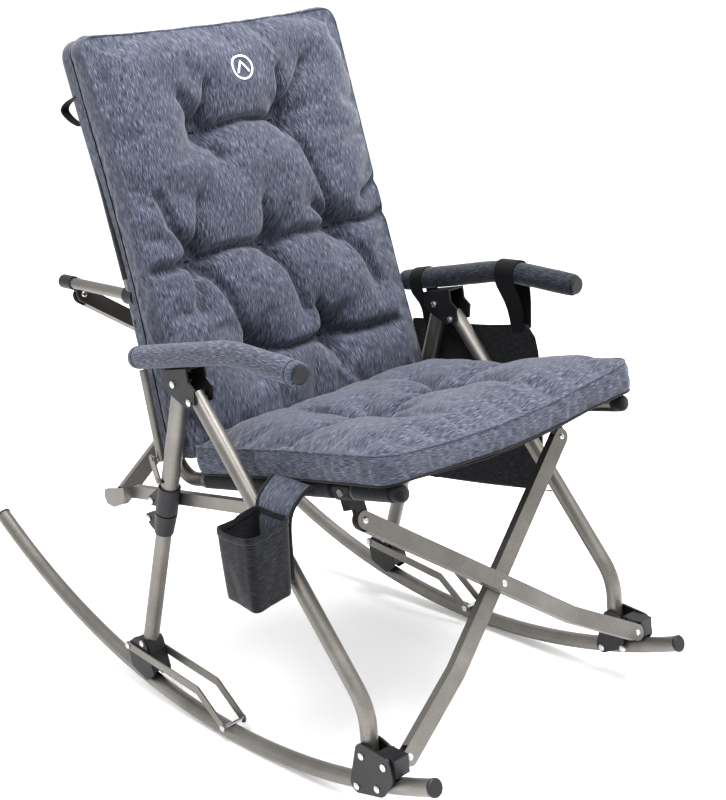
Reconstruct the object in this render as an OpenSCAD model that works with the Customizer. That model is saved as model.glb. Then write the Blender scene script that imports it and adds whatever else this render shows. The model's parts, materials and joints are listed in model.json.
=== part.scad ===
// Folding camp rocking chair: two side frames on curved rockers, joined by a front and a rear pair of
// crossed tubes, with a padded seat and back between them.
// The sitter faces -Y, +X is the sitter's left, and the floor is the plane z = 0.
// Points of a side frame are written [y, z]. The right side frame is drawn and mirrored for the left.

/* [Side frames] */
// Distance between the centre lines of the two rockers
rocker_spacing = 540; // [530:5:580]
// Radius of a rocker's centre line
rocker_bend = 1150; // [1100:10:1250]
// Diameter of the rockers, front legs and armrest tubes
tube_d = 25; // [24:0.5:26]
// Diameter of the upper rear leg, which the lower leg slides into
upper_leg_d = 28; // [28:0.5:29]
// Wall of every tube
wall = 1.2; // [1:0.1:1.2]

/* [Cross tubes] */
// Height from the crossing pin to either row of end pins, along the cross tubes' plane
cross_rise = 165; // [160:1:170]
// Lean of the cross tubes' planes, back from upright
cross_lean = 18; // [16:1:20]
// Width of the flat cross tubes
bar_w = 26; // [22:1:28]
// Thickness of the flat cross tubes
bar_t = 14; // [13:0.5:15]

/* [Seat and back] */
// Width of the seat and back cushions
cushion_w = 504; // [480:2:504]
// Thickness of the seat cushion
seat_t = 48; // [40:1:55]
// Thickness of the back cushion
back_t = 60; // [50:1:62]
// Fall of the seat towards the back
seat_fall = 10; // [9:0.5:11]
// Lean of the back cushion
back_lean = 13.5; // [12:0.5:14]

/* [Cup holder] */
// Outside width and depth of the cup pocket
cup_size = 74; // [68:1:78]
// Height of the cup pocket
cup_h = 122; // [110:1:130]

/* [Hidden] */
round_fn = 48;
$fn = round_fn;
bend_lap = 1;
bend_skin = 0.04;
tangent_gap = 0.01;

steel = [0.58, 0.56, 0.54];
black = [0.13, 0.13, 0.14];
bright = [0.82, 0.82, 0.82];
heather = [0.33, 0.35, 0.43];
charcoal = [0.17, 0.18, 0.2];

tube_r = tube_d / 2;
upper_leg_r = upper_leg_d / 2;
play = 0.1;
bolt_r = 3;
hole_r = bolt_r + 0.07;
strut_r = 6;
rail_r = 11;
plate_t = 4;

// Distances of the parallel planes from the chair's middle
frame_x = rocker_spacing / 2;
arm_x = frame_x + 11;
side_rail_x = frame_x - 23.5;
foot_pivot_x = frame_x - 27;
seat_rail_x = frame_x - 40;
seat_pivot_x = frame_x - 55;

// Side frame points
rocker_front_y = -412;
rocker_rear_y = 659;
front_leg_top = [30, 559];
front_leg_knee = [-290, 164];
front_leg_foot = [-290, 69];
front_leg_pin = [24, 551.6];
rear_leg_top = [54, 588];
rear_leg_foot = [238, 80];
leg_pin = [59.5, 573];
collar_top = 204;
collar_joint = 252;
collar_foot = 290;
upper_lug = [170, 364];
lower_lug = [183, 332];
rail_front = [-86, 400];
rail_rear = [262, 350];
rail_leg_pin = [-74, 398.3];
arm_rear = [155, 597];
arm_bend = [-80, 641];
arm_front = [-222, 633];
arm_bend_r = 260;
strut_top = [158, 574];
strut_foot = [137, 434];
link_pin = [129, 409];
strap_points = [[266, 93], [84, 72], [26, 28]];
foot_bolts_y = [-276, -318];
leg_foot_pin = [-290, 98];
boss_bolt = [-334, 97];

// Seat and back half: the corner is where the seat rail's line meets the upright's line
seat_front = [-340, 478];
unit_corner = [147, 392];
back_top = [304, 1040];
unit_bend_r = 45;
clamp_y = -241;
standoff_z = 672;

// Lower pins of the crossed tubes, and their planes
front_low = [-343, 97];
rear_low = [296, 332];
front_mid = front_low + cross_rise * [sin(cross_lean), cos(cross_lean)];
rear_mid = rear_low + cross_rise * [sin(cross_lean), cos(cross_lean)];
front_high = front_mid + cross_rise * [sin(cross_lean), cos(cross_lean)];
rear_high = rear_mid + cross_rise * [sin(cross_lean), cos(cross_lean)];
bar_gap = 2;
bar_level = (bar_t + bar_gap) / 2;
fork_r = 13;
tongue_t = bar_t - 2 * wall - 1.2;
tongue_r = 9;

// Cushions
cushion_r = 16;
seat_corner = [-345, 493];
seat_len = 432;
back_corner = [84, 452];
back_len = 631;
sleeve_r = 13.2;
cloth_t = 2;

// --- plane helpers ---

// Draws in a side plane: local x is the chair's y, local y its z, and local z its x
module side_plane(x) {
    translate([x, 0, 0]) rotate([90, 0, 90]) children();
}

// Draws in a cross tube plane through point p: local x is across the chair, local y up the lean,
// local z forward
module cross_plane(p) {
    translate([0, p[0], p[1]]) rotate([90 - cross_lean, 0, 0]) children();
}

module right() {
    children();
}

module left() {
    mirror([1, 0, 0]) children();
}

function unit2(v) = v / norm(v);
function turn(p, q) = atan2(q[1] - p[1], q[0] - p[0]);
function ahead(p, q, d) = p + unit2(q - p) * d;
function rocker_z(y) = tube_r + rocker_bend - sqrt(rocker_bend * rocker_bend - y * y);
function leg_at(t) = ahead(rear_leg_top, rear_leg_foot, t);
saddle_pin = leg_at(512);
function on_line(p, q, t) = p + (q - p) * t;
function arm_z(y) = on_line(arm_rear, arm_bend, (arm_rear[0] - y) / (arm_rear[0] - arm_bend[0]))[1];
function tilted(p, angle, a, b) = p + a * [cos(angle), sin(angle)] + b * [-sin(angle), cos(angle)];
function seat_at(a, b) = tilted(seat_corner, -seat_fall, a, b);
function back_at(a, b) = tilted(back_corner, 90 - back_lean, a, -b);
function share(v, i, p, q) = (v - p[i]) / (q[i] - p[i]);
function upright_y(z) = on_line(unit_corner, back_top, share(z, 1, unit_corner, back_top))[0];
function seat_rail_z(y) = on_line(seat_front, unit_corner, share(y, 0, seat_front, unit_corner))[1];

// Round bar from p to q in the current plane
module rod(p, q, r) {
    facing(p, q) cylinder(r = r, h = norm(q - p));
}

// Puts local z along the line from p towards q in the current plane
module facing(p, q) {
    translate([p[0], p[1], 0]) rotate([0, 0, turn(p, q)]) rotate([0, 90, 0]) children();
}

// Tube through three points with a bend of radius b at the middle one. The bend is a hair thicker
// than the straights and laps over their ends
module bent_pipe(p, q, s, b, r, w = wall) {
    bend = turn(q, s) - turn(p, q);
    swing = abs(bend) > 180 ? bend - 360 * sign(bend) : bend;
    t = b * tan(abs(swing) / 2);
    start = ahead(q, p, t);
    side = sign(swing);
    along = unit2(q - p);
    centre = start + side * b * [-along[1], along[0]];
    first = turn(centre, start);
    lap = bend_lap / b * 180 / PI;
    pipe(p, start, r, w);
    pipe(ahead(q, s, t), s, r, w);
    translate([centre[0], centre[1], 0])
        rotate([0, 0, (side > 0 ? first : first + swing) - lap])
            ring_arc(b, abs(swing) + 2 * lap, r + bend_skin, r - w - bend_skin);
}

// Part of a round bar or tube bent to radius b
module ring_arc(b, angle, r_out, r_in) {
    rotate_extrude(angle = angle, $fn = ceil(14 * sqrt(b))) translate([b, 0]) difference() {
        circle(r = r_out, $fn = round_fn);
        if (r_in > 0) circle(r = r_in, $fn = round_fn);
    }
}

// Round tube from p to q with its bore right through
module pipe(p, q, r, w = wall) {
    difference() {
        rod(p, q, r);
        rod(ahead(p, q, -1), ahead(q, p, -1), r - w);
    }
}

// Hole or shank across a side plane
module across(p, r, z0, z1) {
    translate([p[0], p[1], z0]) cylinder(r = r, h = z1 - z0);
}

// Bolt across a side plane: a shank and two domed heads outside z0 and z1
module bolt(p, z0, z1) {
    across(p, bolt_r, z0, z1);
    across(p, bolt_r * 1.8, z1, z1 + 1.6);
    across(p, bolt_r * 1.8, z0 - 1.6, z0);
    translate([p[0], p[1], z1 + 1.6]) cylinder(r1 = bolt_r * 1.8, r2 = bolt_r, h = 1.4);
    translate([p[0], p[1], z0 - 3]) cylinder(r1 = bolt_r, r2 = bolt_r * 1.8, h = 1.4);
}

// Convex plate through the points, grown by r and rounded at its corners
module rounded_outline(points, r) {
    n = len(points);
    polygon(points);
    for (i = [0 : n - 1]) {
        a = points[i];
        b = points[(i + 1) % n];
        out = unit2([b[1] - a[1], a[0] - b[0]]) * (r - tangent_gap);
        translate(a) circle(r = r);
        polygon([a, a + out, b + out, b]);
    }
}

// --- side frame ---

// Arc along the rocker from y0 to y1, solid, or with a bore
module rocker_arc(r_out, r_in, y0, y1) {
    sweep = asin(y1 / rocker_bend) - asin(y0 / rocker_bend);
    translate([0, tube_r + rocker_bend, 0]) rotate([0, 0, asin(y0 / rocker_bend) - 90])
        ring_arc(rocker_bend, sweep, r_out, r_in);
}

module rocker() {
    color(steel) side_plane(-frame_x) difference() {
        rocker_arc(tube_r, tube_r - wall, rocker_front_y, rocker_rear_y);
        for (y = foot_bolts_y) across([y, rocker_z(y)], hole_r, -20, 20);
        across(strap_points[2], hole_r, -20, 20);
    }
}

// Plug and flange that close one end of a tube, at p, pointing away from q
module tube_cap(p, q, r) {
    plug = r - wall - play;
    facing(p, 2 * p - q) rotate_extrude() polygon([
        [0, -14], [plug, -14], [plug, 0], [r + 0.8, 0], [r + 0.8, 3], [r - 1.5, 4.6], [0, 4.6]]);
}

module rocker_caps() {
    color(black) side_plane(-frame_x) for (y = [rocker_front_y, rocker_rear_y]) {
        end = [y, rocker_z(y)];
        along = [end[1] - tube_r - rocker_bend, -end[0]] / rocker_bend;
        inward = y < 0 ? -along : along;
        tube_cap(end, end + inward, tube_r);
    }
}

module front_leg() {
    color(steel) side_plane(-frame_x) difference() {
        bent_pipe(front_leg_top, front_leg_knee, front_leg_foot, 90, tube_r);
        across(front_leg_pin, hole_r, -20, 20);
        across(rail_leg_pin, hole_r, -20, 20);
        across(leg_foot_pin, hole_r, -20, 20);
    }
}

module rear_leg_upper() {
    color(steel) side_plane(-frame_x) difference() {
        pipe(leg_at(5), leg_at(232), upper_leg_r);
        across(leg_pin, hole_r, -20, 20);
        across(leg_at(190), hole_r, -20, 20);
    }
}

module rear_leg_lower() {
    color(steel) side_plane(-frame_x) difference() {
        pipe(leg_at(200), rear_leg_foot, tube_r);
        across(saddle_pin, hole_r, -20, 20);
    }
}

foot_plate = [[-277, 50], [-292, 103], [-334, 99], [-337, 84], [-320, 60]];
inner_foot_plate = [[-277, 50], [-292, 103], [-306, 99], [-308, 66]];

module foot_plate_holes() {
    for (y = foot_bolts_y) across([y, rocker_z(y)], hole_r, -40, 40);
    across(leg_foot_pin, hole_r, -40, 40);
}

module front_bracket_outer() {
    color(black) side_plane(-frame_x) difference() {
        translate([0, 0, -tube_r - 1 - plate_t]) linear_extrude(plate_t) rounded_outline(foot_plate, 14);
        foot_plate_holes();
        across(boss_bolt, hole_r, -40, 40);
    }
}

// Inner plate with the boss in front of the leg, whose tongue carries the cross tube's lower end
module front_bracket_inner(level) {
    boss_out = frame_x + tube_r + 0.6;
    boss_in = frame_x - tube_r - 0.6;
    color(black) difference() {
        union() {
            side_plane(-frame_x) translate([0, 0, tube_r + 1])
                linear_extrude(plate_t) rounded_outline(inner_foot_plate, 12);
            side_plane(-boss_out) linear_extrude(boss_out - boss_in)
                polygon([[-353, 84], [-353, 112], [-318, 112], [-305.5, 104], [-305.5, 84]]);
            side_plane(-frame_x) translate([0, 0, tube_r - 2])
                linear_extrude(5) polygon([[-323, 84], [-323, 112], [-305.5, 104], [-305.5, 84]]);
            cross_plane(front_low) translate([0, 0, level - tongue_t / 2]) linear_extrude(tongue_t) {
                translate([-foot_pivot_x, 0]) circle(r = tongue_r);
                translate([-boss_in - 4, -tongue_r]) square([boss_in + 4 - foot_pivot_x, 2 * tongue_r]);
            }
        }
        side_plane(-frame_x) foot_plate_holes();
        side_plane(-frame_x) across(boss_bolt, hole_r, -40, 0);
        cross_plane(front_low) translate([-foot_pivot_x, 0, -40]) cylinder(r = hole_r, h = 80);
    }
}

saddle_side = [[262, 92], [246, 104], [226, 104], [214, 60], [228, 50], [258, 62]];

module saddle() {
    color(black) side_plane(-frame_x) difference() {
        union() {
            for (z = [-tube_r - 1 - plate_t, tube_r + 1])
                translate([0, 0, z]) linear_extrude(plate_t) rounded_outline(saddle_side, 8);
            translate([0, 0, -tube_r - 2]) linear_extrude(2 * tube_r + 4)
                polygon([[207, 60], [214, 112], [246, 112], [262, 100], [264, 66]]);
        }
        rod(leg_at(400), leg_at(560), tube_r + play);
        rocker_arc(tube_r + 0.6, 0, 100, 400);
        across(saddle_pin, hole_r, -40, 40);
        across(strap_points[0], hole_r, -40, 40);
    }
}

module strap_shape() {
    w = 7;
    for (i = [0, 1]) {
        a = strap_points[i];
        b = strap_points[i + 1];
        side = unit2([b[1] - a[1], a[0] - b[0]]) * (w - tangent_gap);
        polygon([a - side, a + side, b + side, b - side]);
    }
    for (p = strap_points) translate(p) circle(r = w);
}

module saddle_straps() {
    gap = tube_r + 1 + plate_t + 0.5;
    color(steel) side_plane(-frame_x) difference() {
        for (z = [-gap - 2.5, gap]) translate([0, 0, z]) linear_extrude(2.5) strap_shape();
        across(strap_points[0], hole_r, -40, 40);
        across(strap_points[2], hole_r, -40, 40);
    }
}

// Collar around the leg from t0 to t1, with a lug that reaches back to a pin
module collar(t0, t1, r0, r1, lug, pin) {
    color(black) side_plane(-frame_x) difference() {
        union() {
            translate([leg_at(t0)[0], leg_at(t0)[1], 0]) rotate([0, 0, turn(rear_leg_top, rear_leg_foot)])
                rotate([0, 90, 0]) cylinder(r1 = r0, r2 = r1, h = t1 - t0);
            translate([0, 0, -5]) linear_extrude(10) rounded_outline(lug, 8);
        }
        rod(leg_at(t0 - 60), leg_at(232.3), upper_leg_r + play);
        rod(leg_at(t0 - 60), leg_at(t1 + 60), tube_r + play);
        across(pin, hole_r, -40, 40);
    }
}

module upper_collar() {
    collar(collar_top, collar_joint - 1, 17.2, 17.2,
        [[138, 366], [170, 364], [142, 384], [130, 382]], upper_lug);
}

module lower_collar() {
    collar(collar_joint + 1, collar_foot, 17.5, 15,
        [[150, 326], [170, 322], [183, 332], [152, 342]], lower_lug);
}

// Flat tube between two points, with its faces towards the chair's middle and outside
module flat_pipe(p, q, w, t) {
    translate([p[0], p[1], 0]) rotate([0, 0, turn(p, q)]) difference() {
        translate([0, -w / 2, -t / 2]) cube([norm(q - p), w, t]);
        translate([-1, -w / 2 + wall, -t / 2 + wall]) cube([norm(q - p) + 2, w - 2 * wall, t - 2 * wall]);
    }
}

// Side rail, with the solid end that carries the rear cross tube's lower end
module side_rail(level) {
    out = frame_x - 2;
    color(steel) difference() {
        union() {
            side_plane(-side_rail_x) difference() {
                flat_pipe(rail_front, rail_rear, 20, 12);
                across(rail_leg_pin, hole_r, -20, 20);
                across(upper_lug, hole_r, -20, 20);
            }
            side_plane(-out) linear_extrude(out - side_rail_x + 6.3)
                polygon([[257, 340], [257, 362], [276, 352], [276, 334]]);
            side_plane(-out) linear_extrude(7)
                polygon([[262, 334], [262, 359], [312, 348], [316, 336], [310, 324], [290, 322]]);
            cross_plane(rear_low) translate([0, 0, level - tongue_t / 2]) linear_extrude(tongue_t) {
                translate([-foot_pivot_x, 0]) circle(r = tongue_r);
                translate([-out + 3, -tongue_r]) square([out - 3 - foot_pivot_x, 2 * tongue_r]);
            }
        }
        cross_plane(rear_low) translate([-foot_pivot_x, 0, -40]) cylinder(r = hole_r, h = 80);
    }
}

arm_shell = [[82, 588], [84, 569], [72, 558], [34, 541], [12, 550], [9, 572], [22, 582], [24, 599]];

module arm_bracket() {
    shell_in = upper_leg_r + 0.6;
    color(black) side_plane(-frame_x) difference() {
        union() {
            for (z = [-shell_in - 3, shell_in])
                translate([0, 0, z]) linear_extrude(3) polygon(arm_shell);
            translate([0, 0, -shell_in - 3]) linear_extrude(2 * shell_in + 6)
                polygon([[82, 588], [24, 599], [24, 602], [82, 591]]);
        }
        across(leg_pin, hole_r, -40, 40);
        across(front_leg_pin, hole_r, -40, 40);
    }
}

module arm_tube() {
    color(steel) side_plane(-arm_x) bent_pipe(arm_rear, arm_bend, arm_front, arm_bend_r, tube_r);
}

module arm_pad() {
    pad_front = ahead(arm_front, arm_bend, 8);
    color(heather) side_plane(-arm_x)
        bent_pipe(arm_rear, arm_bend, pad_front, arm_bend_r, tube_r + 4.8, 4.8 - play);
}

module arm_cap() {
    color(black) side_plane(-arm_x) tube_cap(arm_front, arm_bend, tube_r);
}

// Thin strut under the armrest's rear end, with the short link that ties it to the rear leg
module arm_strut() {
    strut_pin = ahead(strut_foot, strut_top, 8);
    link_z = -upper_leg_r - 2.8;
    color(steel) side_plane(-frame_x) {
        pipe(strut_top, strut_foot, strut_r);
        translate([0, 0, link_z]) linear_extrude(2.5)
            rounded_outline([link_pin, strut_pin + [1, 0], link_pin - [1, 0]], 6);
        across(strut_pin, 2, link_z - 1.5, strut_r + 1.5);
        across(strut_pin, 3.6, link_z - 1.5, link_z + 0.3);
        across(strut_pin, 3.6, strut_r + 0.2, strut_r + 1.5);
        across(link_pin, 2, link_z - 1.5, -12.4);
        across(link_pin, 3.6, link_z - 1.5, link_z + 0.3);
    }
}

module frame_bolts(front_level, rear_level) {
    reach = tube_r + 1 + plate_t + 0.1;
    color(bright) {
        side_plane(-frame_x) {
            for (y = foot_bolts_y) bolt([y, rocker_z(y)], -reach, reach);
            bolt(leg_foot_pin, -reach, reach);
            across(boss_bolt, bolt_r, -reach - 1.6, -2);
            across(boss_bolt, bolt_r * 1.8, -reach - 1.6, -reach);
            bolt(strap_points[0], -reach - 3.2, reach + 3.2);
            bolt(strap_points[2], -reach - 3.2, reach + 3.2);
            bolt(leg_pin, -upper_leg_r - 3.8, upper_leg_r + 3.8);
            bolt(front_leg_pin, -upper_leg_r - 3.8, upper_leg_r + 3.8);
            bolt(rail_leg_pin, -tube_r - 0.3, frame_x - side_rail_x + 6.2);
            bolt(upper_lug, -5.3, frame_x - side_rail_x + 6.2);
            bolt(lower_lug, -5.3, 5.3);
            bolt(saddle_pin, -reach, reach);
        }
        pivot_pin(front_low, -foot_pivot_x, front_level);
        pivot_pin(rear_low, -foot_pivot_x, rear_level);
    }
}

// --- crossed tubes ---

// Pin through a cross tube's fork, square to the tube's plane
module pivot_pin(p, x, level) {
    cross_plane(p) translate([x, 0, level]) {
        translate([0, 0, -bar_t / 2 - 0.3]) cylinder(r = bolt_r, h = bar_t + 0.6);
        translate([0, 0, bar_t / 2 + 0.3]) cylinder(r1 = bolt_r * 1.6, r2 = bolt_r * 0.9, h = 1.6);
        translate([0, 0, -bar_t / 2 - 1.9]) cylinder(r1 = bolt_r * 0.9, r2 = bolt_r * 1.6, h = 1.6);
    }
}

low_end = [-foot_pivot_x, -cross_rise];
high_end = [seat_pivot_x, cross_rise];
bar_knee = -0.55 * high_end;

// Outline of the bent flat tube, w wide, between its two end pins
module bar_outline(w) {
    for (ends = [[low_end, bar_knee], [bar_knee, high_end]]) {
        side = unit2([ends[1][1] - ends[0][1], ends[0][0] - ends[1][0]]) * (w / 2 - tangent_gap);
        polygon([ends[0] - side, ends[0] + side, ends[1] + side, ends[1] - side]);
    }
    for (p = [low_end, bar_knee, high_end]) translate(p) circle(r = w / 2);
}

// Bent flat tube with a fork at each end. Its lower end is on the right
module cross_bar(level) {
    color(steel) translate([0, 0, level]) difference() {
        translate([0, 0, -bar_t / 2]) linear_extrude(bar_t) bar_outline(bar_w);
        translate([0, 0, -bar_t / 2 + wall]) linear_extrude(bar_t - 2 * wall) bar_outline(bar_w - 2 * wall);
        for (p = [low_end, high_end])
            translate([p[0], p[1], -bar_t / 2 + wall]) cylinder(r = fork_r + 3, h = bar_t - 2 * wall);
        for (p = [low_end, high_end, [0, 0]])
            translate([p[0], p[1], -bar_t]) cylinder(r = hole_r, h = 2 * bar_t);
    }
}

module cross_a(mid) {
    cross_plane(mid) cross_bar(-bar_level);
}

module cross_b(mid) {
    cross_plane(mid) mirror([1, 0, 0]) cross_bar(bar_level);
}

module crossing_pin(mid) {
    color(bright) cross_plane(mid) {
        translate([0, 0, -bar_t - 1.3]) cylinder(r = bolt_r, h = 2 * bar_t + 2.6);
        translate([0, 0, bar_t + 1.3]) cylinder(r1 = bolt_r * 1.7, r2 = bolt_r * 0.9, h = 1.6);
        translate([0, 0, -bar_t - 2.9]) cylinder(r1 = bolt_r * 0.9, r2 = bolt_r * 1.7, h = 1.6);
    }
}

// --- seat and back ---

module seat_rail() {
    joint = ahead(unit_corner, seat_front, 60);
    color(steel) side_plane(-seat_rail_x) {
        pipe(seat_front, joint, rail_r);
        rod(ahead(joint, seat_front, 20), ahead(joint, seat_front, 1), rail_r - wall / 2);
        rod(ahead(joint, seat_front, 3), ahead(joint, unit_corner, 12), rail_r - wall - play);
    }
    color(black) side_plane(-seat_rail_x) tube_cap(seat_front - [0.1, 0], unit_corner, rail_r);
}

module back_upright() {
    joint = ahead(unit_corner, seat_front, 59.8);
    color(steel) side_plane(-seat_rail_x)
        bent_pipe(joint, unit_corner, back_top, unit_bend_r, rail_r);
    color(black) side_plane(-seat_rail_x) tube_cap(ahead(back_top, unit_corner, -0.1), unit_corner, rail_r);
}

// Black clamp under the seat rail, whose tongue carries the front cross tube's upper end
module seat_bracket(level) {
    rail = [clamp_y, seat_rail_z(clamp_y)];
    ring_front = ahead(rail, seat_front, 17);
    ring_rear = ahead(rail, unit_corner, 17);
    tongue_top = 34;
    color(black) difference() {
        union() {
            side_plane(-seat_rail_x) rod(ring_front, ring_rear, rail_r + 3.5);
            cross_plane(front_high) {
                translate([-seat_pivot_x - 21, 20, level - 8]) cube([26, 18, 16]);
                translate([0, 0, level - tongue_t / 2]) linear_extrude(tongue_t) {
                    translate([-seat_pivot_x, 0]) circle(r = tongue_r);
                    translate([-seat_pivot_x - tongue_r, 0]) square([2 * tongue_r, tongue_top]);
                }
            }
        }
        side_plane(-seat_rail_x)
            rod(ahead(ring_front, ring_rear, -9), ahead(ring_rear, ring_front, -9), rail_r + play);
        cross_plane(front_high) translate([-seat_pivot_x, 0, -40]) cylinder(r = hole_r, h = 80);
        side_plane(-seat_rail_x) across(rail, hole_r, -40, 40);
        side_plane(-seat_rail_x) translate([rail[0], rail[1], 0])
            rotate([0, 0, turn(seat_front, unit_corner)])
            translate([-60, rail_r + 0.2, -40]) cube([120, 20, 80]);
    }
}

// Tube that stands back from the upright, with the black end that carries the rear cross tube's upper end
module back_bracket(level) {
    start = [upright_y(standoff_z), standoff_z];
    end = [rear_high[0] - 14, standoff_z];
    color(steel) side_plane(-seat_rail_x) difference() {
        pipe(start, end, 9);
        rod(unit_corner, back_top, rail_r + 0.3);
        translate([-600, 0, -50]) cube([600 + start[0], 2000, 100]);
    }
    color(black) difference() {
        union() {
            side_plane(-seat_rail_x) rod(start - [rail_r - 4, 0], start + [rail_r + 6, 0], rail_r + 3.5);
            side_plane(-seat_rail_x) rod(end + [0.1, 0], end + [30, 0], 11);
            side_plane(-seat_rail_x) rod(end - [18, 0], end + [0.2, 0], 9 - wall - play);
            cross_plane(rear_high) {
                translate([-seat_pivot_x - 22, 17, level - 7]) cube([24, 10, 14]);
                translate([0, 0, level - tongue_t / 2]) linear_extrude(tongue_t) {
                    translate([-seat_pivot_x, 0]) circle(r = tongue_r);
                    translate([-seat_pivot_x - tongue_r, 0]) square([2 * tongue_r, 20]);
                }
            }
        }
        side_plane(-seat_rail_x) rod(unit_corner, back_top, rail_r + play);
        side_plane(-seat_rail_x) rod(start, end - [18.5, 0], 9 + play);
        cross_plane(rear_high) translate([-seat_pivot_x, 0, -40]) cylinder(r = hole_r, h = 80);
    }
}

module seat_pins(front_level, rear_level) {
    rail = [clamp_y, seat_rail_z(clamp_y)];
    color(bright) {
        pivot_pin(front_high, -seat_pivot_x, front_level);
        pivot_pin(rear_high, -seat_pivot_x, rear_level);
        side_plane(-seat_rail_x) {
            across(rail, bolt_r, -rail_r - 4, -rail_r - 0.5);
            across(rail, bolt_r * 1.8, -rail_r - 5.2, -rail_r - 3.6);
        }
    }
}

// Cloth between the two rails: a sleeve around each rail, joined by a flat panel
module sling(ends) {
    for (x = [-seat_rail_x, seat_rail_x]) side_plane(x) difference() {
        for (e = ends) rod(e[0], e[1], sleeve_r);
        for (e = ends) rod(ahead(e[0], e[1], -3), ahead(e[1], e[0], -3), rail_r + 0.3);
    }
}

module cloth_panel(p, q, lift) {
    side_plane(-seat_rail_x) translate([p[0], p[1], 0]) rotate([0, 0, turn(p, q)])
        translate([0, lift, 0]) cube([norm(q - p), cloth_t, 2 * seat_rail_x]);
}

module seat_sling() {
    gap = 30;
    front = ahead(seat_front, unit_corner, 2);
    rear = ahead(unit_corner, seat_front, 70);
    clamp = [clamp_y, seat_rail_z(clamp_y)];
    color(charcoal) difference() {
        union() {
            sling([[front, ahead(clamp, seat_front, gap)], [ahead(clamp, unit_corner, gap), rear]]);
            cloth_panel(front, rear, rail_r + 0.5);
        }
        for (x = [-seat_rail_x, seat_rail_x]) side_plane(x) rod(seat_front, unit_corner, rail_r + 0.3);
    }
}

module back_sling() {
    low = ahead(unit_corner, back_top, 80);
    high = ahead(back_top, unit_corner, 14);
    under = ahead(low, high, 172);
    over = ahead(low, high, 238);
    color(charcoal) difference() {
        union() {
            sling([[low, under], [over, high]]);
            cloth_panel(low, high, rail_r + 0.5);
        }
        for (x = [-seat_rail_x, seat_rail_x]) side_plane(x) rod(unit_corner, back_top, rail_r + 0.3);
    }
}

// Closed cushion across the chair from four corner points
module cushion(points) {
    color(heather) side_plane(-cushion_w / 2) linear_extrude(cushion_w) rounded_outline(points, cushion_r);
}

module seat_cushion() {
    a = cushion_r;
    cushion([seat_at(a, a), seat_at(seat_len - a, a),
        seat_at(seat_len - a, seat_t - a), seat_at(a, seat_t - a)]);
}

module back_cushion() {
    a = cushion_r;
    cushion([back_at(a, a), back_at(a, back_t - a),
        back_at(back_len - a, back_t - a), back_at(back_len - a, a)]);
}

// --- cloth accessories ---

cup_x = -frame_x - 58;
cup_y = -152;
cup_z = 308;

// Square pocket with an open mouth, and the tab that rises from its inner wall to the seat's edge
module cup_holder() {
    t = 2.5;
    color(charcoal) translate([cup_x, cup_y, cup_z]) difference() {
        translate([-cup_size / 2, -cup_size / 2, 0]) cube([cup_size, cup_size, cup_h]);
        translate([-cup_size / 2 + t, -cup_size / 2 + t, t])
            cube([cup_size - 2 * t, cup_size - 2 * t, cup_h]);
    }
    color(heather) side_plane(cup_x + cup_size / 2 - t) linear_extrude(t)
        polygon([[cup_y - 37, cup_z + cup_h - 4], [cup_y + 37, cup_z + cup_h - 4],
                 [cup_y + 46, cup_z + 152], [cup_y - 37, cup_z + 152]]);
    color(heather) translate([0, cup_y - 37, cup_z + 150]) rotate([-90, 0, 0]) linear_extrude(83)
        polygon([[cup_x + cup_size / 2 - t, 0], [cup_x + cup_size / 2, 1.5],
                 [-cushion_w / 2 - 2, -12], [-cushion_w / 2 - 2, -14.5]]);
}

pocket_in = frame_x + 20;
pocket_t = 24;
pocket_low = 252;

// Wide flat pocket on the sitter's left, open at the top
module side_pocket() {
    t = 2.5;
    color(charcoal) side_plane(pocket_in) difference() {
        linear_extrude(pocket_t)
            polygon([[-136, pocket_low + 40], [-96, pocket_low + 12], [96, pocket_low - 12],
                     [132, pocket_low + 10], [132, 520], [-112, 564], [-136, 545]]);
        translate([0, 0, t]) linear_extrude(pocket_t - 2 * t)
            polygon([[-136 + t, pocket_low + 43], [-94, pocket_low + 16], [94, pocket_low - 8],
                     [132 - t, pocket_low + 14], [132 - t, 600], [-136 + t, 600]]);
    }
}

// Two webbing loops around the left armrest, each with a tail stitched outside the pocket
module pocket_straps() {
    loop_r = tube_r + 5.1;
    color(black) for (y = [-86, 96]) {
        centre = [y, arm_z(y)];
        front = ahead(centre, arm_bend, 17);
        rear = ahead(centre, arm_rear, 17);
        side_plane(arm_x) difference() {
            rod(front, rear, loop_r + 1.6);
            rod(ahead(front, rear, -1), ahead(rear, front, -1), loop_r);
        }
        side_plane(arm_x + loop_r + 0.3) linear_extrude(1.2)
            polygon([[y - 17, centre[1] + 3], [y + 17, centre[1] - 3], [y + 17, 570], [y - 17, 570]]);
        side_plane(pocket_in + pocket_t + 0.2) linear_extrude(1.4)
            polygon([[y - 17, 574], [y + 17, 574], [y + 17, 490], [y - 17, 490]]);
        translate([0, y - 17, 0]) rotate([-90, 0, 0]) linear_extrude(34)
            polygon([[arm_x + loop_r + 0.3, -571], [arm_x + loop_r + 1.5, -573],
                     [pocket_in + pocket_t + 1.6, -573], [pocket_in + pocket_t + 0.2, -571]]);
    }
}

// --- one call a node ---

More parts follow.
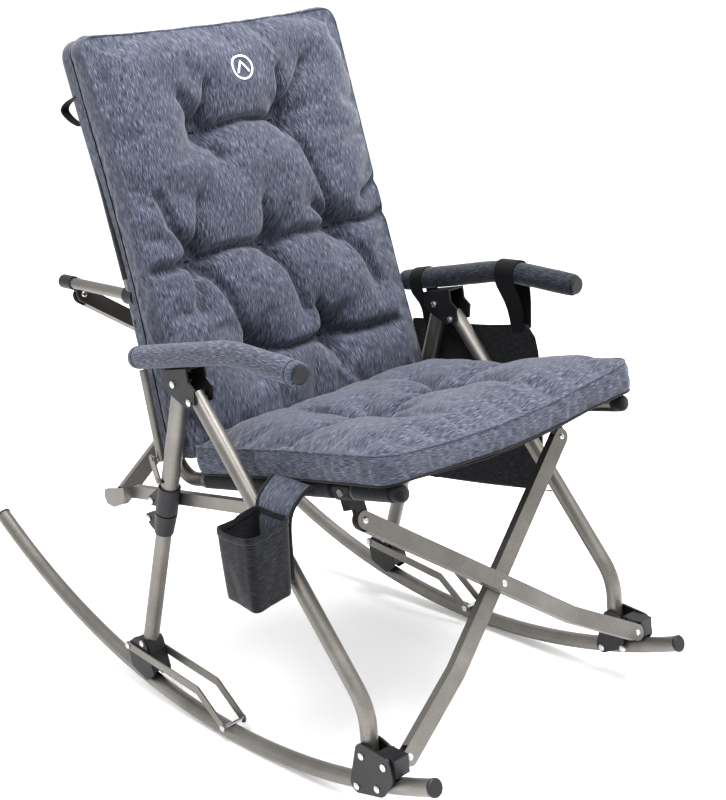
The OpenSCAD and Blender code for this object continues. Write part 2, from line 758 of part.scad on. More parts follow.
right() rocker();  // rocker_right
left() rocker();  // rocker_left
right() rocker_caps();  // rocker_caps_right
left() rocker_caps();  // rocker_caps_left
right() front_leg();  // front_leg_right
left() front_leg();  // front_leg_left
right() rear_leg_upper();  // rear_leg_upper_right
left() rear_leg_upper();  // rear_leg_upper_left
right() rear_leg_lower();  // rear_leg_lower_right
left() rear_leg_lower();  // rear_leg_lower_left
right() front_bracket_outer();  // front_bracket_outer_right
left() front_bracket_outer();  // front_bracket_outer_left
right() front_bracket_inner(-bar_level);  // front_bracket_inner_right
left() front_bracket_inner(bar_level);  // front_bracket_inner_left
right() saddle();  // saddle_right
left() saddle();  // saddle_left
right() saddle_straps();  // saddle_straps_right
left() saddle_straps();  // saddle_straps_left
right() upper_collar();  // upper_collar_right
left() upper_collar();  // upper_collar_left
right() lower_collar();  // lower_collar_right
left() lower_collar();  // lower_collar_left
right() side_rail(-bar_level);  // side_rail_right
left() side_rail(bar_level);  // side_rail_left
right() arm_bracket();  // arm_bracket_right
left() arm_bracket();  // arm_bracket_left
right() arm_tube();  // arm_tube_right
left() arm_tube();  // arm_tube_left
right() arm_pad();  // arm_pad_right
left() arm_pad();  // arm_pad_left
right() arm_cap();  // arm_cap_right
left() arm_cap();  // arm_cap_left
right() arm_strut();  // arm_strut_right
left() arm_strut();  // arm_strut_left
right() frame_bolts(-bar_level, -bar_level);  // frame_bolts_right
left() frame_bolts(bar_level, bar_level);  // frame_bolts_left
cross_a(front_mid);  // front_cross_a
cross_b(front_mid);  // front_cross_b
cross_a(rear_mid);  // rear_cross_a
cross_b(rear_mid);  // rear_cross_b
crossing_pin(front_mid);  // front_cross_pin
crossing_pin(rear_mid);  // rear_cross_pin
right() seat_rail();  // seat_rail_right
left() seat_rail();  // seat_rail_left
right() seat_bracket(bar_level);  // seat_bracket_right
left() seat_bracket(-bar_level);  // seat_bracket_left
right() back_upright();  // back_upright_right
left() back_upright();  // back_upright_left
right() back_bracket(bar_level);  // back_bracket_right
left() back_bracket(-bar_level);  // back_bracket_left
right() seat_pins(bar_level, bar_level);  // seat_pins_right
left() seat_pins(-bar_level, -bar_level);  // seat_pins_left
seat_sling();
back_sling();
seat_cushion();
back_cushion();
cup_holder();
side_pocket();
pocket_straps();
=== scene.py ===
"""Looks of the camp rocking chair. Points are in mm in the CAD frame (x across, y back, z up) until piece()
makes them metres. The sitter's right is -x."""
import json
import math

import bmesh
import bpy
import numpy as np
from mathutils import Matrix, Vector
from mathutils.bvhtree import BVHTree
from mathutils.noise import noise

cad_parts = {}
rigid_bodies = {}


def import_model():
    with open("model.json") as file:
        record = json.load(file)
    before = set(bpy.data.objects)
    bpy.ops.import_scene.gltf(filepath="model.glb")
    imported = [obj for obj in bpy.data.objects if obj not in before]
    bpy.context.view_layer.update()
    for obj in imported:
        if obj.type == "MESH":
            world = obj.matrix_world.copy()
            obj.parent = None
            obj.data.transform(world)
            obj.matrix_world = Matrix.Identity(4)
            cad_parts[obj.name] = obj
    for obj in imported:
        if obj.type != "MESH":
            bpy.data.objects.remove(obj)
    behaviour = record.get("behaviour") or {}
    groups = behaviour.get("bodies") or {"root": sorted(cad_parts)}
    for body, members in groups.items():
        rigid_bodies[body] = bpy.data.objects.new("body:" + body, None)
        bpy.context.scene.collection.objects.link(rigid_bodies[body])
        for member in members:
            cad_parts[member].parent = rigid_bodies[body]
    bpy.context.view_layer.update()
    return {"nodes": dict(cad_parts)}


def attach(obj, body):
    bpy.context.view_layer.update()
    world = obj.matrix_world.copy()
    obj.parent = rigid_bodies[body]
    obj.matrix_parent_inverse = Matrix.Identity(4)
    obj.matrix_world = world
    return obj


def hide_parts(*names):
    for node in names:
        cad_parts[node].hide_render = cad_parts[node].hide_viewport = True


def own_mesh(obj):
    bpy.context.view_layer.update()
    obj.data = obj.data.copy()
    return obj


for stray in list(bpy.data.objects):
    bpy.data.objects.remove(stray)
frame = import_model()
scene = bpy.context.scene

MM = 0.001

# Places from the CAD model
ARM_X, RAIL_X, RAIL_R = 281.0, 230.0, 11.0
SEAT_CORNER, SEAT_FALL, SEAT_LEN = (-345.0, 493.0), math.radians(10), 432.0
BACK_CORNER, BACK_LEAN, BACK_LEN, BACK_T = (84.0, 452.0), math.radians(13.5), 631.0, 60.0
CUSHION_W = 504.0
SEAT_FRONT, UNIT_CORNER = np.array((-340.0, 478.0)), np.array((147.0, 392.0))
BACK_TOP = np.array((304.0, 1040.0))
ARM_PATH, ARM_BEND_R = ((155.0, 597.0), (-80.0, 641.0), (-222.0, 633.0)), 260.0
CLAMP_Y, STANDOFF_Z = -241.0, 672.0
CUP_X, CUP_Y, CUP_LOW, CUP_HIGH, CUP_HALF = -328.0, -152.0, 308.0, 430.0, 37.0
POCKET_X, POCKET_DEEP = 290.5, 24.0

# The cushions' mesh, and how their cloth swells
CELL, BOXING_ROWS, BOXING_UV = 6.2, 7, 0.9
PUFF_PRESSURE, PUFF_GROWTH, PUFF_CAP, PUFF_FRAMES = 4.0, 0.055, 22, 20
TUFT_R, GATHER_AT, GATHER_R, GATHER_DEEP = 27, 26, 17, 2.6


# --- materials ---


def rgb(r, g, b):
    """sRGB 0 to 255 as a linear colour."""
    lin = [(c / 255 / 12.92) if c / 255 <= 0.04045 else ((c / 255 + 0.055) / 1.055) ** 2.4 for c in (r, g, b)]
    return (*lin, 1.0)


def put(tree, kind, inputs=None, **settings):
    n = tree.nodes.new("ShaderNode" + kind)
    for key, value in settings.items():
        setattr(n, key, value)
    for key, value in (inputs or {}).items():
        if isinstance(value, bpy.types.NodeSocket):
            tree.links.new(value, n.inputs[key])
        else:
            n.inputs[key].default_value = value
    return n


def new_material(name, **shader):
    m = bpy.data.materials.new(name)
    m.use_nodes = True
    principled = m.node_tree.nodes["Principled BSDF"]
    for key, value in shader.items():
        principled.inputs[key.replace("_", " ")].default_value = value
    return m, m.node_tree, principled


def scaled(tree, coords, scale):
    return put(tree, "Mapping", {"Vector": coords, "Scale": scale}).outputs[0]


def cloud(tree, coords, scale, detail=2.0, rough=0.5):
    inputs = {"Vector": coords, "Scale": scale, "Detail": detail, "Roughness": rough}
    return put(tree, "TexNoise", inputs).outputs[0]


def ramp(tree, factor, stops):
    n = put(tree, "ValToRGB", {"Fac": factor})
    while len(n.color_ramp.elements) < len(stops):
        n.color_ramp.elements.new(0.5)
    for element, (position, colour) in zip(n.color_ramp.elements, stops):
        element.position, element.color = position, colour
    return n.outputs[0]


def grey(v):
    return (v, v, v, 1.0)


def sums(tree, a, b, kind="ADD"):
    return put(tree, "Math", {0: a, 1: b}, operation=kind).outputs[0]


def multiplied(tree, a, b):
    return put(tree, "Mix", {0: 1.0, 6: a, 7: b}, data_type="RGBA", blend_type="MULTIPLY").outputs[2]


def spread(tree, factor, low, high):
    return put(tree, "MapRange", {0: factor, 1: 0.3, 2: 0.7, 3: low, 4: high}).outputs[0]


def relief(tree, principled, height, distance, strength=0.6):
    bump = put(tree, "Bump", {"Height": height, "Distance": distance, "Strength": strength})
    tree.links.new(bump.outputs[0], principled.inputs["Normal"])


def woven(name, stops, streak, mottle, thread, sheen=0.25, bump=0.00035):
    """Cloth on the "cloth" UVs, in metres with v along the grain. streak is (across, along) in mm."""
    m, t, p = new_material(name, Sheen_Weight=sheen, Sheen_Roughness=0.45, Specular_IOR_Level=0.2)
    uv = put(t, "UVMap", uv_map="cloth").outputs[0]
    fine = cloud(t, scaled(t, uv, (1000 / streak[0], 1000 / streak[1], 1)), 1.0, 1.5, 0.5)
    wide = cloud(t, scaled(t, uv, (230 / streak[0], 260 / streak[1], 1)), 1.0, 2.0)
    blend = sums(t, sums(t, fine, 0.82, "MULTIPLY"), sums(t, wide, 0.18, "MULTIPLY"))
    tone = ramp(t, blend, stops)
    patches = ramp(t, cloud(t, uv, mottle, 3.0), [(0.3, grey(0.8)), (0.7, grey(1.0))])
    t.links.new(multiplied(t, tone, patches), p.inputs["Base Color"])
    t.links.new(spread(t, fine, 0.95, 0.74), p.inputs["Roughness"])
    scale = 314.0 / thread  # makes the Wave node's period thread mm
    waves = [
        put(t, "TexWave", {"Vector": uv, "Scale": scale, "Distortion": 0.4}, bands_direction=d).outputs["Fac"]
        for d in ("X", "Y")
    ]
    weave = sums(t, sums(t, *waves), 0.35, "MULTIPLY")
    relief(t, p, sums(t, weave, sums(t, fine, 0.45, "MULTIPLY")), bump)
    return m


HEATHER = [(0.30, rgb(34, 36, 45)), (0.44, rgb(58, 61, 73)), (0.54, rgb(77, 80, 94)), (0.68, rgb(110, 113, 128))]
# Painted shade: the heather's colours darkened, for the left armrest sleeve, which sits in shade
PAINTED_SHADE_STOPS = [(0.32, rgb(12, 14, 19)), (0.46, rgb(30, 33, 40)), (0.55, rgb(44, 47, 56)), (0.68, rgb(72, 75, 86))]
SLUBS = [(0.32, rgb(11, 12, 14)), (0.50, rgb(20, 21, 25)), (0.70, rgb(43, 45, 52))]
JET = [(0.30, rgb(9, 9, 11)), (0.60, rgb(18, 19, 22)), (0.80, rgb(30, 31, 35))]
heather = woven("heather", HEATHER, (1.1, 11.0), 11.0, 1.5)
# The same heather cloth with painted shade in its colour, used only on the left armrest sleeve
painted_shade_heather = woven("painted_shade_heather", PAINTED_SHADE_STOPS, (1.1, 11.0), 11.0, 1.5)
slub_cloth = woven("slub_cloth", SLUBS, (1.3, 12.0), 14.0, 1.6)
jet_cloth = woven("jet_cloth", JET, (1.2, 6.0), 16.0, 1.5)
webbing = woven("webbing", JET, (2.2, 3.0), 20.0, 2.4, sheen=0.1, bump=0.0006)


def coated_tube():
    m, t, p = new_material("satin_grey_tube", Metallic=0.82, Coat_Weight=0.12, Coat_Roughness=0.3)
    place = put(t, "TexCoord").outputs["Object"]
    grain, rub = cloud(t, place, 1400.0, 3.0), cloud(t, place, 9.0, 4.0, 0.6)
    tone = ramp(t, rub, [(0.3, rgb(112, 109, 105)), (0.55, rgb(126, 123, 119)), (0.75, rgb(140, 137, 133))])
    specks = ramp(t, cloud(t, place, 420.0, 2.0), [(0.28, grey(0.72)), (0.42, grey(1.0))])
    t.links.new(multiplied(t, tone, specks), p.inputs["Base Color"])
    gloss = sums(t, sums(t, grain, 0.4, "MULTIPLY"), sums(t, rub, 0.6, "MULTIPLY"))
    t.links.new(spread(t, gloss, 0.34, 0.5), p.inputs["Roughness"])
    relief(t, p, grain, 0.00004, 0.5)
    return m


def moulded_black():
    m, t, p = new_material("moulded_black", Specular_IOR_Level=0.45)
    place = put(t, "TexCoord").outputs["Object"]
    grain, haze = cloud(t, place, 1800.0, 2.0), cloud(t, place, 22.0, 4.0, 0.6)
    t.links.new(ramp(t, haze, [(0.3, rgb(19, 19, 22)), (0.7, rgb(33, 33, 37))]), p.inputs["Base Color"])
    t.links.new(spread(t, haze, 0.36, 0.58), p.inputs["Roughness"])
    relief(t, p, grain, 0.00008, 0.6)
    return m


def zinc_bolt():
    m, t, p = new_material("zinc_bolt", Metallic=1.0)
    place = put(t, "TexCoord").outputs["Object"]
    brush = cloud(t, scaled(t, place, (300, 2600, 2600)), 1.0, 2.0)
    t.links.new(ramp(t, brush, [(0.3, rgb(176, 176, 178)), (0.7, rgb(226, 226, 226))]), p.inputs["Base Color"])
    t.links.new(spread(t, brush, 0.2, 0.4), p.inputs["Roughness"])
    relief(t, p, brush, 0.00003, 0.5)
    return m


def white_print():
    m, t, p = new_material("white_print", Specular_IOR_Level=0.3)
    uv = put(t, "UVMap", uv_map="cloth").outputs[0]
    worn = cloud(t, scaled(t, uv, (900, 300, 1)), 1.0, 3.0)
    t.links.new(ramp(t, worn, [(0.25, rgb(150, 153, 165)), (0.45, rgb(222, 224, 230))]), p.inputs["Base Color"])
    t.links.new(spread(t, worn, 0.5, 0.75), p.inputs["Roughness"])
    relief(t, p, worn, 0.00015)
    return m


def pale_floor():
    m, t, p = new_material("pale_floor", Specular_IOR_Level=0.12, Emission_Color=grey(1.0), Emission_Strength=0.12)
    place = put(t, "TexCoord").outputs["Object"]
    t.links.new(ramp(t, cloud(t, place, 3.0, 4.0), [(0.3, grey(0.93)), (0.7, grey(0.96))]), p.inputs["Base Color"])
    t.links.new(spread(t, cloud(t, place, 60.0), 0.75, 0.9), p.inputs["Roughness"])
    return m


tube, black, bolt, print_white = coated_tube(), moulded_black(), zinc_bolt(), white_print()


# --- mesh tools ---


def piece(name, points, faces, uv):
    """A smooth mesh from points in mm, with one (u, v) in metres for each face corner."""
    mesh = bpy.data.meshes.new(name)
    mesh.from_pydata((np.asarray(points, float) * MM).tolist(), [], [tuple(int(i) for i in f) for f in faces])
    mesh.uv_layers.new(name="cloth").data.foreach_set("uv", np.asarray(uv, np.float32).ravel())
    mesh.polygons.foreach_set("use_smooth", [True] * len(mesh.polygons))
    obj = bpy.data.objects.new(name, mesh)
    scene.collection.objects.link(obj)
    return obj


def final(obj):
    """Applies obj's modifiers."""
    mesh = bpy.data.meshes.new_from_object(obj.evaluated_get(bpy.context.evaluated_depsgraph_get()))
    obj.modifiers.clear()
    obj.data = mesh
    return obj


def dressed(obj, material, body):
    obj.data.materials.append(material)
    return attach(obj, body)


def run_lengths(points):
    p = np.asarray(points, float)
    return np.concatenate([[0.0], np.cumsum(np.linalg.norm(np.diff(p, axis=0), axis=1))])


def grid(name, points, closed=False, grain="rows", keep=None, uv_at=(0.0, 0.0)):
    """A mesh over points[row][column]. closed joins the last column to the first. grain is the way the cloth's
    grain runs: "rows" along each row, "columns" from row to row. keep(row, column) is false for a hole."""
    p = np.asarray(points, float)
    rows, cols = p.shape[:2]
    spread_cols = cols + 1 if closed else cols
    middle = p[rows // 2]
    across = run_lengths(np.vstack([middle, middle[:1]]) if closed else middle)[:spread_cols]
    down = run_lengths(p[:, cols // 3])
    faces, uv = [], []
    for i in range(rows - 1):
        for j in range(spread_cols - 1):
            if keep is not None and not keep(i, j):
                continue
            k = (j + 1) % cols
            faces.append((i * cols + j, i * cols + k, (i + 1) * cols + k, (i + 1) * cols + j))
            for a, b in ((i, j), (i, j + 1), (i + 1, j + 1), (i + 1, j)):
                at = (down[a], across[b]) if grain == "rows" else (across[b], down[a])
                uv.append((at[0] * MM + uv_at[0], at[1] * MM + uv_at[1]))
    obj = piece(name, p.reshape(-1, 3), faces, uv)
    if len({i for f in faces for i in f}) < len(obj.data.vertices):
        bm = bmesh.new()
        bm.from_mesh(obj.data)
        bmesh.ops.delete(bm, geom=[v for v in bm.verts if not v.link_faces], context="VERTS")
        bm.to_mesh(obj.data)
        bm.free()
    return obj


def frames(path, up):
    """(tangent, side, normal) at each point of path."""
    p = np.asarray(path, float)
    t = np.gradient(p, axis=0)
    t /= np.linalg.norm(t, axis=1)[:, None]
    side = np.cross(t, np.asarray(up, float))
    side /= np.linalg.norm(side, axis=1)[:, None]
    return t, side, np.cross(side, t)


def tube_along(name, path, radius, up=(0, 0, 1), sides=12, closed=False, capped=True):
    """A tube whose radius is a number or one for each point; closed joins its ends."""
    p = np.asarray(path, float)
    q = np.vstack([p[-1:], p, p[:1]]) if closed else p
    _, side, normal = frames(q, up)
    if closed:
        side, normal = side[1:-1], normal[1:-1]
    r = np.broadcast_to(np.asarray(radius, float), (len(p),))
    turn = np.linspace(0, 2 * math.pi, sides, endpoint=False)
    rings = p[:, None] + r[:, None, None] * (
        np.cos(turn)[None, :, None] * side[:, None] + np.sin(turn)[None, :, None] * normal[:, None]
    )
    if closed:
        rings = np.vstack([rings, rings[:1]])
    obj = grid(name, rings, closed=True, grain="columns")
    if closed or not capped:
        return obj
    mesh = obj.data
    n = len(mesh.vertices)
    faces = [tuple(f.vertices) for f in mesh.polygons]
    uv = [tuple(l.uv) for l in mesh.uv_layers[0].data]
    for start in (0, n - sides):
        ring = list(range(start, start + sides))
        faces.append(tuple(ring if start else reversed(ring)))
        uv += [(math.cos(a) * r[0] * MM, math.sin(a) * r[0] * MM) for a in turn]
    points = np.array([v.co for v in mesh.vertices]) / MM
    bpy.data.objects.remove(obj)
    return piece(name, points, faces, uv)


def ribbon(name, path, across, width, grain="columns", columns=5, cup=0.0):
    """A flat band along path, with its width along the fixed direction across."""
    p = np.asarray(path, float)
    d = np.asarray(across, float) / np.linalg.norm(across)
    w = np.broadcast_to(np.asarray(width, float), (len(p),))
    t = np.gradient(p, axis=0)
    n = np.cross(t, d)
    n /= np.linalg.norm(n, axis=1)[:, None]
    u = np.linspace(-0.5, 0.5, columns)
    rows = p[:, None] + u[None, :, None] * w[:, None, None] * d + cup * (4 * u**2)[None, :, None] * n[:, None]
    return grid(name, rows, grain=grain)


def thick(obj, thickness, offset=0.0):
    m = obj.modifiers.new("thick", "SOLIDIFY")
    m.thickness, m.offset, m.use_even_offset = thickness * MM, offset, True
    return obj


def rounded(obj, levels=1):
    m = obj.modifiers.new("rounded", "SUBSURF")
    m.levels = m.render_levels = levels
    return obj


def bend_path(points, radius, step=5.0):
    """Three points as a path with a round bend, in (y, z)."""
    a, b, c = (np.array(p, float) for p in points)
    u, v = (a - b) / np.linalg.norm(a - b), (c - b) / np.linalg.norm(c - b)
    half = math.acos(np.clip(-u @ v, -1, 1)) / 2
    cut = radius * math.tan(half)
    start, end = b + u * cut, b + v * cut
    centre = b + (u + v) / np.linalg.norm(u + v) * radius / math.cos(half)
    first, last = start - centre, end - centre
    n = max(4, int(radius * 2 * half / step))
    arc = []
    for k in range(n + 1):
        w = k / n
        d = first * math.sin((1 - w) * 2 * half) + last * math.sin(w * 2 * half)
        arc.append(centre + d / math.sin(2 * half))
    before, after = int(np.linalg.norm(start - a) / step), max(1, int(np.linalg.norm(c - end) / step))
    out = [a + (start - a) * k / max(1, before) for k in range(before)]
    out += arc
    out += [end + (c - end) * (k + 1) / after for k in range(after)]
    return np.array(out)


def smooth(t):
    t = np.clip(t, 0, 1)
    return t * t * (3 - 2 * t)


def wobble(*at):
    return noise(Vector([float(c) for c in (*at, 0, 0)[:3]]))


# --- cushions ---


def rounded_square(u, v, half_w, half_l, corner):
    """(u, v) from -1 to 1 onto a rectangle with round corners."""
    x, y = u * half_w, v * half_l
    dx, dy = abs(x) - (half_w - corner), abs(y) - (half_l - corner)
    if dx > 0 and dy > 0:
        k = max(dx, dy) / math.hypot(dx, dy)
        x, y = math.copysign(half_w - corner + dx * k, x), math.copysign(half_l - corner + dy * k, y)
    return x, y


def line_distance(line, s, a):
    best = np.full(s.shape, 1e9)
    for (s0, a0), (s1, a1) in zip(line[:-1], line[1:]):
        length = max((s1 - s0) ** 2 + (a1 - a0) ** 2, 1e-6)
        t = np.clip(((s - s0) * (s1 - s0) + (a - a0) * (a1 - a0)) / length, 0, 1)
        best = np.minimum(best, np.hypot(s - s0 - t * (s1 - s0), a - a0 - t * (a1 - a0)))
    return best


def puff(obj, pins):
    """Swells obj with cloth simulation, each point moving at most PUFF_CAP mm. pins is {weight: indices}."""
    start = np.array([v.co for v in obj.data.vertices])
    group = obj.vertex_groups.new(name="pins")
    for weight, indices in pins.items():
        group.add([int(i) for i in indices], weight, "REPLACE")
    cloth = obj.modifiers.new("puff", "CLOTH")
    s = cloth.settings
    s.quality, s.mass = 5, 0.25
    s.tension_stiffness = s.compression_stiffness = 12
    s.shear_stiffness, s.bending_stiffness = 5, 1.2
    s.tension_damping = s.compression_damping = s.shear_damping = 8
    s.use_pressure, s.uniform_pressure_force = True, PUFF_PRESSURE
    s.shrink_min = -PUFF_GROWTH
    s.vertex_group_mass = "pins"
    s.effector_weights.gravity = 0
    cloth.collision_settings.use_collision = False
    cloth.point_cache.frame_start, cloth.point_cache.frame_end = 1, PUFF_FRAMES
    for f in range(1, PUFF_FRAMES + 1):
        scene.frame_set(f)
    swollen = obj.evaluated_get(bpy.context.evaluated_depsgraph_get()).data
    move = np.array([v.co for v in swollen.vertices]) - start
    length = np.linalg.norm(move, axis=1)[:, None]
    cap = PUFF_CAP * MM
    move *= np.where(length > 1e-9, cap * np.tanh(length / cap) / np.maximum(length, 1e-9), 1)
    obj.modifiers.remove(cloth)
    obj.vertex_groups.clear()
    obj.data.vertices.foreach_set("co", (start + move).ravel())
    obj.data.update()
    scene.frame_set(1)


def cushion(name, length, corner, pull, front, rear, place, tufts, creases, grain_across, seed):
    """A boxed cushion. s runs across it, a along it and b through it, in mm. front(s, a, inside) is its face, with
    inside from 0 at the seam to 1, and rear(s, a) its underside; place(s, a, b) gives a point. Returns the object
    and its two seam loops."""
    ns, na, nb = int(CUSHION_W / CELL), int(length / CELL), BOXING_ROWS
    half_w, half_l = CUSHION_W / 2 - 3, length / 2 - 1
    s, a = np.zeros((na + 1, ns + 1)), np.zeros((na + 1, ns + 1))
    for i in range(na + 1):
        for j in range(ns + 1):
            u, v = 2 * j / ns - 1, 2 * i / na - 1
            x, y = rounded_square(u, v, half_w, half_l, corner)
            side, end = pull
            x -= math.copysign(side * (1 - (y / half_l) ** 2) ** 1.5, x) * abs(u) ** 3
            y -= math.copysign(end * (1 - (x / half_w) ** 2), y) * abs(v) ** 3
            s[i, j] = x + 1.8 * abs(u) ** 4 * wobble(seed, y / 110)
            a[i, j] = y + half_l + 1 + 2.4 * abs(v) ** 4 * wobble(seed + 9, x / 90)
    nearest = np.min([np.hypot(s - ts, a - ta) for ts, ta, _ in tufts], axis=0)
    edge = np.minimum(half_w - np.abs(s), np.minimum(a, length - a))
    b = front(s, a, smooth(edge / 62))
    for ts, ta, depth in tufts:
        w = np.exp(-((np.hypot(s - ts, a - ta) / TUFT_R) ** 2))
        b = b * (1 - w) + depth * w
    hold = np.zeros_like(b)
    sign = 1 if tufts[0][2] > front(np.zeros(1), np.array([length / 2]), np.ones(1))[0] else -1
    for n, (ts, ta, _) in enumerate(tufts):
        gather = np.exp(-(((np.hypot(s - ts, a - ta) - GATHER_AT) / GATHER_R) ** 2))
        b += GATHER_DEEP * gather * np.cos(6 * np.arctan2(a - ta, s - ts) + 1.7 * n + seed)
    inside, fold = smooth(edge / 22), np.zeros_like(b)
    for line in creases:
        d = line_distance(line, s, a)
        fold = np.maximum(fold, inside * (9 + 22 * np.exp(-nearest / 75)) * np.exp(-((d / 7.5) ** 2)))
        hold = np.maximum(hold, 0.9 * inside * np.exp(-((d / 6) ** 2)) * np.exp(-nearest / 90))
    deepest = tufts[0][2] - sign * 1.0
    b = sign * np.minimum(sign * (b + sign * fold), sign * deepest)
    for i in range(na + 1):
        for j in range(ns + 1):
            b[i, j] += 1.5 * smooth(edge[i, j] / 40) * wobble(s[i, j] / 45, a[i, j] / 45, seed)
    under = rear(s, a)
    cols = ns + 1
    loop = [(0, j) for j in range(ns)] + [(i, ns) for i in range(na)]
    loop += [(na, j) for j in range(ns, 0, -1)] + [(i, 0) for i in range(na, 0, -1)]
    points = [place(*v) for v in zip(s.ravel(), a.ravel(), b.ravel())]
    points += [place(*v) for v in zip(s.ravel(), a.ravel(), under.ravel())]
    rear_first = cols * (na + 1)
    front_loop = [i * cols + j for i, j in loop]
    rings = [front_loop]
    for k in range(1, nb):
        w = k / nb
        rings.append(list(range(len(points), len(points) + len(loop))))
        for i, j in loop:
            waist = 1 + 0.012 * math.sin(math.pi * w)
            depth = b[i, j] * (1 - w) + under[i, j] * w
            points.append(place(s[i, j] * waist, length / 2 + (a[i, j] - length / 2) * waist, depth))
    rings.append([rear_first + i for i in front_loop])
    faces, uv = [], []

    def cloth_at(i, j):
        return (a[i, j] * MM, s[i, j] * MM) if grain_across else (s[i, j] * MM, a[i, j] * MM)

    for first, step in ((0, 1), (rear_first, -1)):
        for i in range(na):
            for j in range(ns):
                at = [(i, j), (i, j + 1), (i + 1, j + 1), (i + 1, j)][::step]
                faces.append([first + p * cols + q for p, q in at])
                uv += [cloth_at(p, q) for p, q in at]
    edge_points = np.array([points[i] for i in front_loop])
    around = run_lengths(np.vstack([edge_points, edge_points[:1]])) * MM
    for k in range(nb):
        for j in range(len(loop)):
            n = (j + 1) % len(loop)
            faces.append([rings[k][j], rings[k + 1][j], rings[k + 1][n], rings[k][n]])
            near, far = (BACK_T * MM * depth / nb + BOXING_UV for depth in (k, k + 1))
            uv += [(near, around[j]), (far, around[j]), (far, around[j + 1]), (near, around[j + 1])]
    obj = piece(name, points, faces, uv)
    volume = sum(obj.data.vertices[f.vertices[0]].co.dot(f.normal) * f.area for f in obj.data.polygons)
    if volume < 0:
        obj.data.flip_normals()
    sewn = {tuple(sorted(e)) for ring in (rings[0], rings[-1]) for e in zip(ring, ring[1:] + ring[:1])}
    crease = obj.data.attributes.new("crease_edge", "FLOAT", "EDGE")
    crease.data.foreach_set("value", [float(tuple(sorted(e.vertices)) in sewn) for e in obj.data.edges])
    flat_near, flat_hold = nearest.ravel(), hold.ravel()
    tight = set(np.nonzero(flat_near < 6)[0]) | set(front_loop) | set(range(rear_first, 2 * rear_first))
    pins = {1.0: sorted(tight)}
    for level in (0.15, 0.3, 0.45, 0.6, 0.75):
        held = np.nonzero((flat_hold > level - 0.075) & (flat_hold <= level + 0.075))[0]
        pins[level] = [i for i in held if i not in tight]
    pins[0.35] = [i for ring in rings[1:-1] for i in ring]
    puff(obj, pins)
    seams = [np.array([obj.data.vertices[i].co for i in ring]) / MM for ring in (rings[0], rings[-1])]
    final(rounded(obj))
    return obj, seams


def squashed(obj):
    """Gives obj its own copy of its mesh; the cloth is not squashed and only moves with the body it hangs on."""
    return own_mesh(obj)


def back_point(s, a, b):
    y, z = BACK_CORNER
    a -= 13 * smooth((90 - a) / 90)
    sin, cos = math.sin(BACK_LEAN), math.cos(BACK_LEAN)
    return (s, y + a * sin + b * cos, z + a * cos - b * sin)


def seat_point(s, a, b):
    y, z = SEAT_CORNER
    a += 7 * smooth((a - 350) / 80) - 6 * smooth((60 - a) / 60)
    s += 15 * smooth((230 - a) / 170) * smooth(s / 252) - 4 * smooth((200 - a) / 170) * smooth(-s / 252)
    sin, cos = math.sin(SEAT_FALL), math.cos(SEAT_FALL)
    return (s, y + a * cos + b * sin, z - a * sin + b * cos)


def back_front(s, a, inside):
    seam = 3 + 24 * (np.clip(a / BACK_LEN, 0, 1)) ** 2.4
    return seam * (1 - inside) - 3.0 * inside


def back_rear(s, a):
    return np.full_like(s, BACK_T - 2) - 1.0 * (np.abs(s) / 252) ** 4


def seat_top(s, a, inside):
    middle = 1 - np.clip(np.abs(s) / 252, 0, 1) ** 2
    seam = 42 - 17 * middle * np.exp(-np.clip(a, 0, None) / 120) + 5 * smooth(s / 252)
    return seam * (1 - inside) + (53 - 8 * middle * np.exp(-np.clip(a, 0, None) / 120)) * inside


def seat_bottom(s, a):
    middle = 1 - np.clip(np.abs(s) / 232, 0, 1) ** 2
    return 1.0 - 11 * middle**2


BACK_TUFTS = [(-79, 468), (79, 466), (-146, 277), (0, 276), (142, 277), (-78, 118), (75, 110)]
BACK_CREASES = [
    [(-79, 468), (-10, 470), (79, 466)],
    [(-240, 272), (-146, 277), (-90, 284), (0, 276), (55, 280), (142, 277), (252, 281)],
    [(-78, 118), (-20, 109), (75, 110), (120, 104), (200, 100)],
    [(-112, 519), (-79, 468)], [(-61, 530), (-77, 472)], [(80, 536), (79, 468)], [(135, 543), (84, 472)],
    [(-197, 380), (-184, 333), (-150, 285)], [(-126, 363), (-144, 290)], [(-5, 337), (0, 278)],
    [(79, 466), (105, 385), (139, 280)], [(-79, 468), (-76, 448), (-64, 423)],
    [(-146, 277), (-115, 212), (-80, 118)], [(0, 277), (19, 209), (28, 160)], [(142, 277), (174, 217), (187, 174)],
    [(55, 163), (75, 112)], [(-146, 277), (-172, 205)], [(75, 110), (78, 60)], [(250, 340), (205, 320)],
    [(92, 319), (128, 285)],
]
SEAT_TUFTS = [(-70, 205), (70, 205)]
SEAT_CREASES = [
    [(-70, 205), (0, 209), (70, 205)], [(-70, 205), (-135, 198), (-225, 214)], [(70, 205), (140, 212), (228, 200)],
    [(-70, 205), (-96, 150), (-104, 96)], [(-70, 205), (-52, 160)], [(70, 205), (92, 158), (96, 104)],
    [(70, 205), (50, 166)], [(-70, 205), (-92, 262), (-98, 316)], [(70, 205), (94, 258), (104, 312)],
    [(-70, 205), (-46, 252)], [(70, 205), (44, 250)],
]

